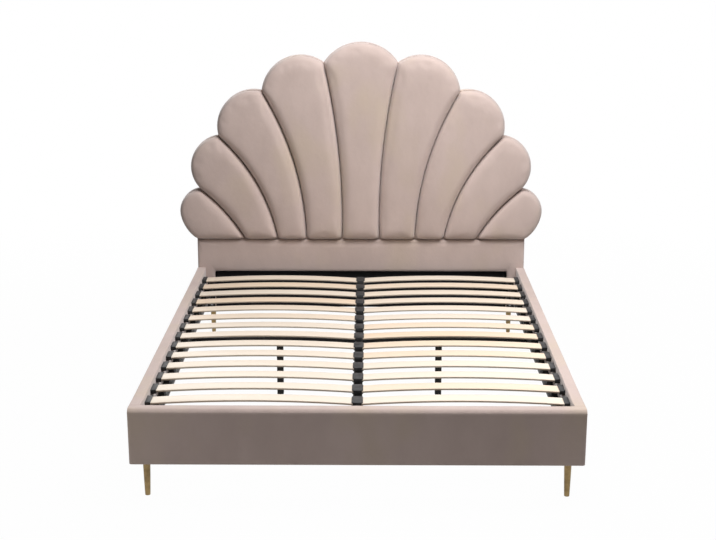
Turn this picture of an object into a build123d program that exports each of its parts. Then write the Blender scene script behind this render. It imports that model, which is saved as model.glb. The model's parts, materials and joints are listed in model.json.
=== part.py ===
"""Upholstered double bed frame with a scalloped shell headboard and a sprung slat base.

Millimetres. +Z is up, the headboard stands at +Y and the footboard at -Y. The origin is on
the floor, under the middle of the whole bed. Every piece is made inside its own block and
written as a STEP file named after it.
"""
import os
from math import hypot, sqrt

from build123d import *

# Mattress well: the mattress it takes, and the play around it
mattress_width = 1500.0
mattress_length = 2000.0
well_side_play = 11.0
well_end_play = 25.0

# Heights
leg_height = 137.0
rail_height = 205.0
headboard_top = 1434.0

# Side rails: a timber core inside a padded velvet sleeve
rail_core_thickness = 22.0
rail_pad_outside = 12.0
rail_pad_inside = 5.0
rail_pad_top = 7.0
rail_pad_bottom = 3.0
rail_edge_radius = 9.0

# Footboard: the same make, thicker and rounder at the front
foot_core_thickness = 25.0
foot_pad_front = 14.0
foot_pad_back = 6.0
foot_pad_end = 10.0
foot_edge_radius = 13.0

# Headboard: lower pad, board, timber frame and back cloth, front to back
lower_pad_thickness = 20.0
board_thickness = 10.0
frame_depth = 36.0
cloth_thickness = 1.5
edge_cover_thickness = 3.0
lining_thickness = 2.0
side_strip_width = 84.0
lining_drop = 20.0
pad_edge_radius = 6.0

# Headboard timber. The post shares are of the height from the petals' feet to a seam's top.
outer_post_width = 100.0
inner_post_width = 45.0
inner_post_spacing = 500.0
bottom_rail_height = 60.0
middle_rail_height = 50.0
outer_post_share = 0.79
inner_post_share = 0.80

# Scalloped fan: how far it reaches past the rails, and how far its petals start above them
fan_overhang = 77.0
petal_foot_lift = 140.0

# Seams between petals, from the middle one outwards. The feet are shares of the half width,
# the tops are shares of the half width and of the fan's height, and the bows and rises are
# shares of each arc's own chord.
seam_foot_shares = (0.104, 0.301, 0.4595, 0.640)
seam_top_x_shares = (0.202, 0.541, 0.781, 0.886)
seam_top_z_shares = (0.899, 0.7595, 0.5315, 0.2595)
seam_bow_shares = (0.033, 0.067, 0.083, 0.050)
head_rise_shares = (0.271, 0.287, 0.280, 0.317, 0.257)
elbow_x_share = 0.994
elbow_z_share = 0.100
elbow_rise_share = 0.080

# Petal cushions: the wall at the edge, the crown above it and how far in the crown starts
petal_wall = 20.0
petal_crown = 24.0
petal_crown_run = 45.0
petal_gap = 2.0
petal_corner_cut = 6.0
crown_run_shares = (0.08, 0.36, 1.0)

# Brass legs
leg_top_radius = 13.5
leg_foot_radius = 9.5
leg_swell = 0.3
leg_stud_radius = 4.0
leg_stud_length = 16.0
leg_corner_inset = 14.0
rear_leg_inset = 66.0
stud_play = 0.3

# Steel slat frame
bar_width = 32.0
bar_height = 20.0
bar_wall = 2.0
bar_rail_gap = 23.0
bar_end_play = 8.0
centre_rail_width = 34.0
beam_width = 34.0
beam_height = 35.0
beam_wall = 2.0
end_beam_inset = 100.0
beam_end_play = 1.0

# Cradles that hang the beams on the rails
cradle_thickness = 3.0
cradle_shelf = 30.0
cradle_cheek = 18.0
cradle_flange = 25.0
cradle_play = 0.4

# Corner brackets
bracket_leg = 44.0
bracket_height = 90.0
bracket_thickness = 3.0
bracket_bend = 3.0
weld_nut_radius = 8.0
weld_nut_height = 6.0

# Bolts. All shanks, studs and screws, and the holes they go in, are six-sided.
peg_sides = 6
bolt_radius = 3.0
bolt_head_across = 10.0
bolt_head_height = 4.0
bolt_length = 22.0
long_bolt_length = 45.0
bolt_play = 0.3
bolt_edge_distance = 18.0

# Sprung slats
slat_rows = 14
slat_width = 68.0
slat_thickness = 8.0
slat_bow = 13.0
slat_head_gap = 113.0
slat_foot_gap = 90.0
slat_end_play = 1.0

# Slat caps
cap_drop = 20.0
cap_width = 22.0
cap_wall = 3.0
cap_play = 0.3
cap_rail_play = 0.5
cap_edge_cut = 1.8
centre_cap_width = 41.0
centre_cap_corner = 7.0
centre_cap_web = 8.0
cap_foot_height = 15.0
cap_foot_width = 24.0
cap_foot_length = 40.0
lug_width = 12.0
lug_length = 8.0
lug_depth = 7.0
lug_play = 0.25

# Support legs of the middle beam
support_spacing = 675.0
support_width = 27.0
support_wall = 1.5
support_lift = 22.0
support_stud_radius = 5.0
support_stud_length = 14.0
support_plug = 4.0
insert_flange = 2.0
insert_depth = 20.0
insert_play = 0.15
glide_radius = 15.0
glide_thickness = 8.0
screw_radius = 4.0
screw_length = 40.0
screw_play = 0.3

# Every cut runs past its far side by this much
overrun = 1.0

# Places that follow from the sizes above
well_half = mattress_width / 2 + well_side_play
well_length = mattress_length + well_end_play
rail_thickness = rail_core_thickness + rail_pad_outside + rail_pad_inside
half_width = well_half + rail_thickness
foot_thickness = foot_core_thickness + foot_pad_front + foot_pad_back
headboard_depth = lower_pad_thickness + board_thickness + frame_depth + cloth_thickness
total_length = foot_thickness + well_length + headboard_depth

y_front = -total_length / 2
y_foot = y_front + foot_thickness
y_head = y_foot + well_length
y_board = y_head + lower_pad_thickness
y_frame = y_board + board_thickness
y_cloth = y_frame + frame_depth
y_back = y_cloth + cloth_thickness

z_bottom = leg_height
z_top = leg_height + rail_height
z_lining = z_top - lining_drop

slat_far_x = well_half - cap_rail_play - cap_wall - slat_end_play
slat_near_x = centre_cap_web / 2 + slat_end_play
slat_half_chord = (slat_far_x - slat_near_x) / 2
slat_middle_x = (slat_far_x + slat_near_x) / 2
slat_radius = (slat_half_chord**2 + slat_bow**2) / (2 * slat_bow)


def slat_rise(distance):
    """How far a slat has risen at a distance in from its end."""
    along = slat_half_chord - distance
    return sqrt(slat_radius**2 - along**2) - sqrt(slat_radius**2 - slat_half_chord**2)


side_pocket = cap_width - cap_wall
pocket_height = slat_thickness + slat_rise(side_pocket) + 2 * cap_play
cap_top_z = z_top - cap_drop
slat_end_z = cap_top_z - cap_wall - pocket_height + cap_play
cap_bottom_z = slat_end_z - cap_play - cap_wall
cap_length = slat_width + 2 * cap_play + 2 * cap_wall

bar_top_z = cap_bottom_z - cap_foot_height
bar_bottom_z = bar_top_z - bar_height
beam_bottom_z = bar_bottom_z - beam_height
bar_x = well_half - bar_rail_gap - bar_width / 2

slat_y_first = y_head - slat_head_gap - slat_width / 2
slat_y_last = y_foot + slat_foot_gap + slat_width / 2
slat_pitch = (slat_y_first - slat_y_last) / (slat_rows - 1)
slat_y = [slat_y_first - row * slat_pitch for row in range(slat_rows)]
beam_y = {
    "foot": y_foot + end_beam_inset,
    "mid": slat_y[slat_rows // 2 - 1],
    "head": y_head - end_beam_inset,
}

front_leg = (well_half - leg_corner_inset, y_foot + leg_corner_inset)
rear_leg = (half_width - rear_leg_inset, y_frame + frame_depth / 2)
support_x = support_spacing / 2

fan_half_width = half_width + fan_overhang
petal_foot_z = z_top + petal_foot_lift
fan_height = headboard_top - petal_foot_z
seam_feet = [(share * fan_half_width, petal_foot_z) for share in seam_foot_shares]
seam_tops = [
    (across * fan_half_width, petal_foot_z + up * fan_height)
    for across, up in zip(seam_top_x_shares, seam_top_z_shares)
]
elbow = (elbow_x_share * fan_half_width, petal_foot_z + elbow_z_share * fan_height)
fan_corner = (half_width, petal_foot_z)

os.makedirs("parts", exist_ok=True)


def save(part, name):
    """Label a finished piece and write it as parts/name.step."""
    part.label = name
    export_step(part, f"parts/{name}.step")


def upright(y):
    """Plane across the bed at y, with X to the right and Z up."""
    return Plane.XZ.offset(-y)


def block(x, y, z, mode=Mode.ADD):
    """Add or cut the box between two X, two Y and two Z values."""
    middle = ((x[0] + x[1]) / 2, (y[0] + y[1]) / 2, (z[0] + z[1]) / 2)
    with Locations(middle):
        Box(abs(x[1] - x[0]), abs(y[1] - y[0]), abs(z[1] - z[0]), mode=mode)


def pair(sign, low, high):
    """Two X values on the right (+1) or left (-1) half of the bed."""
    return (sign * low, sign * high)


def bowed(start, end, share):
    """Arc from start to end whose rise is a share of its chord; positive bows to the left."""
    chord = hypot(end[0] - start[0], end[1] - start[1])
    SagittaArc(start, end, share * chord)


# Bolt places. Each is a point on the steel it clamps, with the direction it runs in.
bracket_bolt_z = (z_bottom + bolt_edge_distance, z_bottom + bracket_height - bolt_edge_distance)
cradle_bolt_z = beam_bottom_z + cradle_cheek / 2
cradle_bolt_reach = beam_width / 2 + cradle_play + cradle_thickness + cradle_flange / 2
bracket_bolt_reach = bracket_leg - bolt_edge_distance

bracket_places = [
    (y, z)
    for y in (y_foot + bracket_bolt_reach, y_head - bracket_bolt_reach)
    for z in bracket_bolt_z
]
cradle_places = [
    (y + side * cradle_bolt_reach, cradle_bolt_z) for y in beam_y.values() for side in (-1, 1)
]
rail_bolt_places = bracket_places + cradle_places
end_bolt_places = [
    (sign * (well_half - bracket_bolt_reach), z) for sign in (-1, 1) for z in bracket_bolt_z
]


def side_face(sign, x):
    """Plane on an upright face of the right (+1) or left (-1) side, looking outwards."""
    return Plane(origin=(sign * x, 0, 0), x_dir=(0, 1, 0), z_dir=(sign, 0, 0))


def on_side_face(sign, places):
    """The Y and Z values of places, as the plane of a side face counts them."""
    return [(y, sign * z) for y, z in places]


def pegs(plane, places, radius, length):
    """Six-sided pegs that start at places on a plane and run along its normal."""
    with BuildPart() as made:
        with BuildSketch(plane):
            with Locations(*places):
                RegularPolygon(radius, peg_sides)
        extrude(amount=length)
    return made.part


def rail_bolt_holes(sign, depth):
    """The bolt holes of one rail, from its inner face outwards."""
    places = on_side_face(sign, rail_bolt_places)
    return pegs(side_face(sign, well_half), places, bolt_radius + bolt_play, depth)


def end_bolt_holes(y_start, y_end):
    """The bolt holes of a board across the bed, between two Y values."""
    return pegs(upright(y_start), end_bolt_places, bolt_radius + bolt_play, y_start - y_end)


# Side rails
rail_bolt_depth = bolt_length - min(bracket_thickness, cradle_thickness) + overrun
for side, sign in (("left", -1), ("right", 1)):
    core_x = pair(sign, well_half + rail_pad_inside, half_width - rail_pad_outside)
    with BuildPart() as rail_core:
        block(core_x, (y_foot, y_head), (z_bottom + rail_pad_bottom, z_top - rail_pad_top))
        add(rail_bolt_holes(sign, rail_bolt_depth), mode=Mode.SUBTRACT)
    save(rail_core.part, f"rail_core_{side}")

    with BuildPart() as rail_cover:
        with BuildSketch(upright(y_head)):
            with Locations((sign * (well_half + rail_thickness / 2), z_bottom + rail_height / 2)):
                RectangleRounded(rail_thickness, rail_height, rail_edge_radius)
            core_middle = (
                (core_x[0] + core_x[1]) / 2,
                z_bottom + rail_pad_bottom + (rail_height - rail_pad_top - rail_pad_bottom) / 2,
            )
            with Locations(core_middle):
                Rectangle(
                    rail_core_thickness,
                    rail_height - rail_pad_top - rail_pad_bottom,
                    mode=Mode.SUBTRACT,
                )
        extrude(amount=well_length)
        add(rail_bolt_holes(sign, rail_bolt_depth), mode=Mode.SUBTRACT)
    save(rail_cover.part, f"rail_cover_{side}")

# Footboard
foot_core_x = (-half_width + foot_pad_end, half_width - foot_pad_end)
foot_core_y = (y_front + foot_pad_front, y_foot - foot_pad_back)
foot_core_z = (z_bottom + rail_pad_bottom, z_top - rail_pad_top)
foot_bolt_end = y_foot - bolt_length + bracket_thickness - overrun

with BuildPart() as footboard_core:
    block(foot_core_x, foot_core_y, foot_core_z)
    add(end_bolt_holes(foot_bolt_end, y_foot), mode=Mode.SUBTRACT)
save(footboard_core.part, "footboard_core")

with BuildPart() as footboard_cover:
    block((-half_width, half_width), (y_front, y_foot), (z_bottom, z_top))
    front_face = footboard_cover.faces().sort_by(Axis.Y)[0]
    fillet(front_face.edges(), foot_edge_radius)
    block(foot_core_x, foot_core_y, foot_core_z, mode=Mode.SUBTRACT)
    add(end_bolt_holes(y_foot - foot_pad_back, y_foot), mode=Mode.SUBTRACT)
save(footboard_cover.part, "footboard_cover")


# Headboard
def mirrored(point):
    """The same point on the other half of the bed."""
    return (-point[0], point[1])


def fan_outline():
    """The headboard's whole outline, walked anticlockwise from its lower left corner."""
    with BuildSketch() as outline:
        with BuildLine():
            Line((-half_width, z_bottom), (half_width, z_bottom))
            Line((half_width, z_bottom), fan_corner)
            bowed(fan_corner, elbow, -elbow_rise_share)
            bowed(elbow, seam_tops[-1], -head_rise_shares[-1])
            for outer in range(len(seam_tops) - 1, 0, -1):
                bowed(seam_tops[outer], seam_tops[outer - 1], -head_rise_shares[outer])
            bowed(seam_tops[0], mirrored(seam_tops[0]), -head_rise_shares[0])
            for outer in range(1, len(seam_tops)):
                inner_top = mirrored(seam_tops[outer - 1])
                bowed(inner_top, mirrored(seam_tops[outer]), -head_rise_shares[outer])
            bowed(mirrored(seam_tops[-1]), mirrored(elbow), -head_rise_shares[-1])
            bowed(mirrored(elbow), mirrored(fan_corner), -elbow_rise_share)
            Line(mirrored(fan_corner), (-half_width, z_bottom))
        make_face()
    return outline.sketch


def petal_outline(number):
    """The outline of the middle petal (0) or of a petal on the right side (1 to 4)."""
    last = len(seam_tops)
    with BuildSketch() as outline:
        with BuildLine():
            if number == 0:
                Line(mirrored(seam_feet[0]), seam_feet[0])
                bowed(seam_feet[0], seam_tops[0], seam_bow_shares[0])
                bowed(seam_tops[0], mirrored(seam_tops[0]), -head_rise_shares[0])
                bowed(mirrored(seam_tops[0]), mirrored(seam_feet[0]), seam_bow_shares[0])
            else:
                inner = number - 1
                if number == last:
                    Line(seam_feet[inner], fan_corner)
                    bowed(fan_corner, elbow, -elbow_rise_share)
                    bowed(elbow, seam_tops[inner], -head_rise_shares[number])
                else:
                    Line(seam_feet[inner], seam_feet[number])
                    bowed(seam_feet[number], seam_tops[number], seam_bow_shares[number])
                    bowed(seam_tops[number], seam_tops[inner], -head_rise_shares[number])
                bowed(seam_tops[inner], seam_feet[inner], -seam_bow_shares[inner])
        make_face()
    return outline.sketch


def crown_height(run):
    """Height of the crown above the petal's wall at a distance in from its edge."""
    return petal_crown * sqrt(1 - (1 - run / petal_crown_run) ** 2)


def petal_section(number, run, height):
    """One level of a petal cushion: its outline drawn in by the run, at a height off the board."""
    with BuildSketch(upright(y_board - height)) as section:
        add(petal_outline(number))
        offset(amount=-petal_gap / 2 - run, kind=Kind.INTERSECTION)
        chamfer(section.vertices(), petal_corner_cut)
    return section.sketch


def petal_cushion(number):
    """A petal lofted from the board up its wall and over its crown."""
    sections = [petal_section(number, 0, 0), petal_section(number, 0, petal_wall)]
    for share in crown_run_shares:
        run = share * petal_crown_run
        sections.append(petal_section(number, run, petal_wall + crown_height(run)))
    with BuildPart() as cushion:
        loft(sections, ruled=True)
    return cushion.part


save(petal_cushion(0), "petal_centre")
for number in range(1, len(seam_tops) + 1):
    with BuildPart() as petal_right:
        add(petal_cushion(number))
    save(petal_right.part, f"petal_right_{number}")

    with BuildPart() as petal_left:
        add(petal_right.part)
        mirror(about=Plane.YZ, mode=Mode.REPLACE)
    save(petal_left.part, f"petal_left_{number}")


# Headboard board, frame and covers
def covered_fan():
    """The outline inside the velvet edge cover, with the underside left bare."""
    with BuildSketch() as inside:
        add(fan_outline())
        offset(amount=-edge_cover_thickness)
        with Locations((0, z_bottom + edge_cover_thickness)):
            Rectangle(2 * (half_width - edge_cover_thickness), 2 * edge_cover_thickness)
    return inside.sketch


board_bolt_end = y_head + long_bolt_length - bracket_thickness + overrun

with BuildPart() as headboard_board:
    with BuildSketch(upright(y_frame)):
        add(covered_fan())
    extrude(amount=board_thickness)
    add(end_bolt_holes(y_board, y_frame), mode=Mode.SUBTRACT)
save(headboard_board.part, "headboard_board")

with BuildPart() as headboard_edge_cover:
    with BuildSketch(upright(y_back)):
        add(fan_outline())
        add(covered_fan(), mode=Mode.SUBTRACT)
    extrude(amount=y_back - y_board)
save(headboard_edge_cover.part, "headboard_edge_cover")

with BuildPart() as headboard_back_cloth:
    with BuildSketch(upright(y_back)):
        add(covered_fan())
    extrude(amount=cloth_thickness)
save(headboard_back_cloth.part, "headboard_back_cloth")

outer_post_x = (half_width - edge_cover_thickness - outer_post_width, half_width - edge_cover_thickness)
outer_post_top = petal_foot_z + outer_post_share * (seam_tops[-1][1] - petal_foot_z)
inner_post_x = (
    (inner_post_spacing - inner_post_width) / 2,
    (inner_post_spacing + inner_post_width) / 2,
)
inner_post_top = petal_foot_z + inner_post_share * (seam_tops[0][1] - petal_foot_z)

with BuildPart() as headboard_posts:
    for sign in (-1, 1):
        block(pair(sign, *outer_post_x), (y_frame, y_cloth), (z_bottom, outer_post_top))
        block(pair(sign, *inner_post_x), (y_frame, y_cloth), (petal_foot_z, inner_post_top))
        spot = (sign * rear_leg[0], rear_leg[1])
        stud_hole = (leg_stud_radius + stud_play, leg_stud_length + stud_play)
        add(pegs(Plane.XY.offset(z_bottom), [spot], *stud_hole), mode=Mode.SUBTRACT)
    add(end_bolt_holes(y_frame, board_bolt_end), mode=Mode.SUBTRACT)
save(headboard_posts.part, "headboard_posts")

with BuildPart() as headboard_cross_rails:
    between_posts = (-outer_post_x[0], outer_post_x[0])
    block(between_posts, (y_frame, y_cloth), (z_bottom, z_bottom + bottom_rail_height))
    block(between_posts, (y_frame, y_cloth), (petal_foot_z - middle_rail_height, petal_foot_z))
save(headboard_cross_rails.part, "headboard_cross_rails")

with BuildPart() as headboard_head_blocks:
    with BuildSketch(upright(y_cloth)):
        arches = [(elbow, seam_tops[-1], head_rise_shares[-1])]
        for outer in range(1, len(seam_tops)):
            arches.append((seam_tops[outer], seam_tops[outer - 1], head_rise_shares[outer]))
        for start, end, rise_share in arches:
            with BuildLine():
                bowed(start, end, -rise_share)
                Line(end, start)
            make_face()
        mirror(about=Plane.YZ)
        with BuildLine():
            bowed(seam_tops[0], mirrored(seam_tops[0]), -head_rise_shares[0])
            Line(mirrored(seam_tops[0]), seam_tops[0])
        make_face()
        offset(amount=-edge_cover_thickness)
    extrude(amount=frame_depth)
save(headboard_head_blocks.part, "headboard_head_blocks")

with BuildPart() as headboard_lower_pad:
    block((-half_width, half_width), (y_head, y_board), (z_lining, petal_foot_z))
    pad_front = headboard_lower_pad.faces().sort_by(Axis.Y)[0]
    fillet(pad_front.edges().sort_by(Axis.Z)[1:], pad_edge_radius)
save(headboard_lower_pad.part, "headboard_lower_pad")

with BuildPart() as headboard_side_strips:
    for sign in (-1, 1):
        strip_x = pair(sign, half_width - side_strip_width, half_width)
        block(strip_x, (y_head, y_board), (z_bottom, z_lining))
    strip_edges = headboard_side_strips.faces().sort_by(Axis.Y)[:2].edges().filter_by(Axis.Z)
    outer_edges = strip_edges.sort_by(Axis.X)
    fillet([outer_edges[0], outer_edges[-1]], pad_edge_radius)
    add(end_bolt_holes(y_head, y_board), mode=Mode.SUBTRACT)
save(headboard_side_strips.part, "headboard_side_strips")

with BuildPart() as headboard_lining:
    lining_half = half_width - side_strip_width
    block((-lining_half, lining_half), (y_board - lining_thickness, y_board), (z_bottom, z_lining))
save(headboard_lining.part, "headboard_lining")


# Steel slat frame
def slotted_tube(x, width):
    """Tube along the bed with a slot in its top wall under every row of slats."""
    with BuildPart() as tube:
        with BuildSketch(upright(y_head - bar_end_play)):
            with Locations((x, (bar_top_z + bar_bottom_z) / 2)):
                Rectangle(width, bar_height)
                Rectangle(width - 2 * bar_wall, bar_height - 2 * bar_wall, mode=Mode.SUBTRACT)
        extrude(amount=well_length - 2 * bar_end_play)
        with Locations(*[(x, y, bar_top_z - bar_wall / 2) for y in slat_y]):
            Box(
                lug_width + 2 * lug_play,
                lug_length + 2 * lug_play,
                bar_wall + overrun,
                mode=Mode.SUBTRACT,
            )
    return tube.part


save(slotted_tube(-bar_x, bar_width), "side_bar_left")
save(slotted_tube(bar_x, bar_width), "side_bar_right")
save(slotted_tube(0, centre_rail_width), "centre_rail")

beam_half = well_half - cradle_thickness - beam_end_play
beam_middle_z = beam_bottom_z + beam_height / 2
for place, y in beam_y.items():
    with BuildPart() as cross_beam:
        with BuildSketch(Plane.YZ.offset(-beam_half)):
            with Locations((y, beam_middle_z)):
                Rectangle(beam_width, beam_height)
                Rectangle(
                    beam_width - 2 * beam_wall, beam_height - 2 * beam_wall, mode=Mode.SUBTRACT
                )
        extrude(amount=2 * beam_half)
        if place == "mid":
            stud_hole = (support_stud_radius + stud_play, beam_wall + overrun)
            spots = [(-support_x, y), (support_x, y)]
            add(pegs(Plane.XY.offset(beam_bottom_z), spots, *stud_hole), mode=Mode.SUBTRACT)
    save(cross_beam.part, f"cross_beam_{place}")

cheek_outer = beam_width + 2 * (cradle_play + cradle_thickness)
plate_width = cheek_outer + 2 * cradle_flange
with BuildPart() as beam_cradles:
    for sign in (-1, 1):
        with BuildSketch(Plane.YZ.offset(sign * well_half)):
            plate_z = (beam_bottom_z - cradle_thickness, beam_bottom_z + cradle_cheek)
            with Locations(*[(y, (plate_z[0] + plate_z[1]) / 2) for y in beam_y.values()]):
                Rectangle(plate_width, plate_z[1] - plate_z[0])
            with Locations(*[(y, cradle_bolt_z) for y in beam_y.values()]):
                with GridLocations(2 * cradle_bolt_reach, 0, 2, 1):
                    RegularPolygon(bolt_radius + bolt_play, peg_sides, mode=Mode.SUBTRACT)
        extrude(amount=-sign * cradle_thickness)
        with BuildSketch(Plane.YZ.offset(sign * (well_half - cradle_thickness))):
            with Locations(*[(y, (plate_z[0] + plate_z[1]) / 2) for y in beam_y.values()]):
                Rectangle(cheek_outer, plate_z[1] - plate_z[0])
            with Locations(*[(y, plate_z[1]) for y in beam_y.values()]):
                Rectangle(
                    beam_width + 2 * cradle_play, 2 * cradle_cheek, mode=Mode.SUBTRACT
                )
        extrude(amount=-sign * cradle_shelf)
save(beam_cradles.part, "beam_cradles")

# Corner brackets: folded steel angles, the two at the foot with a base that takes a leg
with BuildPart() as corner_brackets:
    for sign in (-1, 1):
        for y_corner, inward in ((y_foot, 1), (y_head, -1)):
            with BuildSketch(Plane.XY.offset(z_bottom)) as angle:
                with Locations(
                    (
                        sign * (well_half - bracket_thickness / 2),
                        y_corner + inward * bracket_leg / 2,
                    )
                ):
                    Rectangle(bracket_thickness, bracket_leg)
                with Locations(
                    (
                        sign * (well_half - bracket_leg / 2),
                        y_corner + inward * bracket_thickness / 2,
                    )
                ):
                    Rectangle(bracket_leg, bracket_thickness)
                fold = angle.vertices().sort_by_distance((sign * well_half, y_corner, z_bottom))[0]
                chamfer(fold, bracket_bend)
            extrude(amount=bracket_height)
        leg_spot = (sign * front_leg[0], front_leg[1])
        base_x = pair(sign, well_half - bracket_leg, well_half - bracket_bend)
        base_y = (y_foot + bracket_bend, y_foot + bracket_leg)
        block(base_x, base_y, (z_bottom, z_bottom + bracket_thickness))
        base_top = Plane.XY.offset(z_bottom + bracket_thickness)
        add(pegs(base_top, [leg_spot], weld_nut_radius, weld_nut_height))
        stud_hole = (leg_stud_radius + stud_play, bracket_thickness + weld_nut_height + overrun)
        add(pegs(Plane.XY.offset(z_bottom), [leg_spot], *stud_hole), mode=Mode.SUBTRACT)
        inside = side_face(sign, well_half - bracket_thickness)
        hole = (bolt_radius + bolt_play, bracket_thickness)
        add(pegs(inside, on_side_face(sign, bracket_places), *hole), mode=Mode.SUBTRACT)
    add(end_bolt_holes(y_foot, y_foot + bracket_thickness), mode=Mode.SUBTRACT)
    add(end_bolt_holes(y_head - bracket_thickness, y_head), mode=Mode.SUBTRACT)
save(corner_brackets.part, "corner_brackets")


# Bolts: hexagon heads on the steel, shanks into the timber
def bolts(plane, places, length):
    """Bolts that start on a plane and run along its normal, heads behind it."""
    with BuildPart() as run:
        with BuildSketch(plane):
            with Locations(*places):
                RegularPolygon(bolt_head_across / 2, peg_sides, major_radius=False)
        extrude(amount=-bolt_head_height)
        add(pegs(plane, places, bolt_radius, length))
    return run.part


bolt_runs = [bolts(upright(y_foot + bracket_thickness), end_bolt_places, bolt_length)]
for sign in (-1, 1):
    for places, steel in (
        (bracket_places, bracket_thickness),
        (cradle_places, cradle_thickness),
    ):
        steel_face = side_face(sign, well_half - steel)
        bolt_runs.append(bolts(steel_face, on_side_face(sign, places), bolt_length))

with BuildPart() as frame_bolts:
    add(bolt_runs)
save(frame_bolts.part, "frame_bolts")

steel_face = (0, y_head - bracket_thickness, 0)
towards_head = Plane(origin=steel_face, x_dir=(-1, 0, 0), z_dir=(0, 1, 0))
head_places = [(-x, z) for x, z in end_bolt_places]
save(bolts(towards_head, head_places, long_bolt_length), "headboard_bolts")

# Sprung slats: one bowed slat, then two in each row
with BuildPart() as slat:
    with BuildSketch(upright(slat_width / 2)):
        with BuildLine():
            near = (slat_near_x, slat_end_z)
            far = (slat_far_x, slat_end_z)
            ThreePointArc(near, (slat_middle_x, slat_end_z + slat_bow), far)
            Line(far, (slat_far_x, slat_end_z + slat_thickness))
            ThreePointArc(
                (slat_far_x, slat_end_z + slat_thickness),
                (slat_middle_x, slat_end_z + slat_bow + slat_thickness),
                (slat_near_x, slat_end_z + slat_thickness),
            )
            Line((slat_near_x, slat_end_z + slat_thickness), near)
        make_face()
    extrude(amount=slat_width)
    mirror(about=Plane.YZ)

for row, y in enumerate(slat_y, start=1):
    with BuildPart() as slat_row:
        with Locations((0, y, 0)):
            add(slat.part)
    save(slat_row.part, f"slat_row_{row:02d}")

# Slat caps: a sleeve over the slat's end, a foot on the steel and a lug through its slot
pocket_z = (slat_end_z - cap_play, slat_end_z - cap_play + pocket_height)
cap_outer_x = well_half - cap_rail_play
cap_inner_x = cap_outer_x - cap_width
pocket_y = (-slat_width / 2 - cap_play, slat_width / 2 + cap_play)
foot_y = (-cap_foot_length / 2, cap_foot_length / 2)
lug_y = (-lug_length / 2, lug_length / 2)

with BuildPart() as side_cap:
    block((cap_inner_x, cap_outer_x), (-cap_length / 2, cap_length / 2), (cap_bottom_z, cap_top_z))
    chamfer(side_cap.faces().sort_by(Axis.Z)[-1].edges(), cap_edge_cut)
    block((cap_inner_x, cap_outer_x - cap_wall), pocket_y, pocket_z, mode=Mode.SUBTRACT)
    foot_x = (bar_x - cap_foot_width / 2, bar_x + cap_foot_width / 2)
    block((foot_x[0], cap_inner_x), foot_y, (cap_bottom_z, pocket_z[0]))
    block(foot_x, foot_y, (bar_top_z, cap_bottom_z))
    lug_x = (bar_x - lug_width / 2, bar_x + lug_width / 2)
    block(lug_x, lug_y, (bar_top_z - lug_depth, bar_top_z))

with BuildPart() as centre_cap:
    with BuildSketch(Plane.XY.offset(cap_bottom_z)):
        with BuildLine():
            end = cap_length / 2
            wide = centre_cap_width / 2
            narrow = wide - centre_cap_corner
            short = end - centre_cap_corner
            right = [(narrow, -end), (wide, -short), (wide, short), (narrow, end)]
            left = [(-narrow, end), (-wide, short), (-wide, -short), (-narrow, -end)]
            Polyline(*right, *left, close=True)
        make_face()
    extrude(amount=cap_top_z - cap_bottom_z)
    chamfer(centre_cap.faces().sort_by(Axis.Z)[-1].edges(), cap_edge_cut)
    for sign in (-1, 1):
        pocket_x = pair(sign, centre_cap_web / 2, centre_cap_width / 2 + overrun)
        block(pocket_x, pocket_y, pocket_z, mode=Mode.SUBTRACT)
    centre_foot = (-cap_foot_width / 2, cap_foot_width / 2)
    block(centre_foot, foot_y, (bar_top_z, cap_bottom_z))
    block((-lug_width / 2, lug_width / 2), lug_y, (bar_top_z - lug_depth, bar_top_z))

cap_spots = [(0, y, 0) for y in slat_y]
with BuildPart() as caps_right:
    with Locations(*cap_spots):
        add(side_cap.part)
save(caps_right.part, "caps_right")

with BuildPart() as caps_left:
    add(caps_right.part)
    mirror(about=Plane.YZ, mode=Mode.REPLACE)
save(caps_left.part, "caps_left")

with BuildPart() as centre_caps:
    with Locations(*cap_spots):
        add(centre_cap.part)
save(centre_caps.part, "centre_caps")

# Support legs of the middle beam, with a levelling foot screwed into each
tube_inside = support_width - 2 * support_wall
for side, sign in (("left", -1), ("right", 1)):
    spot = (sign * support_x, beam_y["mid"])
    with BuildPart() as support_leg:
        with BuildSketch(Plane.XY.offset(support_lift)):
            with Locations(spot):
                Rectangle(support_width, support_width)
                Rectangle(tube_inside, tube_inside, mode=Mode.SUBTRACT)
        extrude(amount=beam_bottom_z - support_lift)
        with BuildSketch(Plane.XY.offset(beam_bottom_z - support_plug)):
            with Locations(spot):
                Rectangle(support_width, support_width)
        extrude(amount=support_plug)
        beam_underside = Plane.XY.offset(beam_bottom_z)
        add(pegs(beam_underside, [spot], support_stud_radius, support_stud_length))
    save(support_leg.part, f"support_leg_{side}")

    with BuildPart() as levelling_foot:
        with BuildSketch():
            with Locations(spot):
                Circle(glide_radius)
        extrude(amount=glide_thickness)
        add(pegs(Plane.XY.offset(glide_thickness), [spot], screw_radius, screw_length))
    save(levelling_foot.part, f"levelling_foot_{side}")

with BuildPart() as support_inserts:
    spots = [(sign * support_x, beam_y["mid"]) for sign in (-1, 1)]
    with BuildSketch(Plane.XY.offset(support_lift - insert_flange)):
        with Locations(*spots):
            Rectangle(support_width, support_width)
    extrude(amount=insert_flange)
    with BuildSketch(Plane.XY.offset(support_lift)):
        with Locations(*spots):
            Rectangle(tube_inside - 2 * insert_play, tube_inside - 2 * insert_play)
    extrude(amount=insert_depth)
    bore = (screw_radius + screw_play, insert_flange + insert_depth)
    insert_underside = Plane.XY.offset(support_lift - insert_flange)
    add(pegs(insert_underside, spots, *bore), mode=Mode.SUBTRACT)
save(support_inserts.part, "support_inserts")

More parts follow.
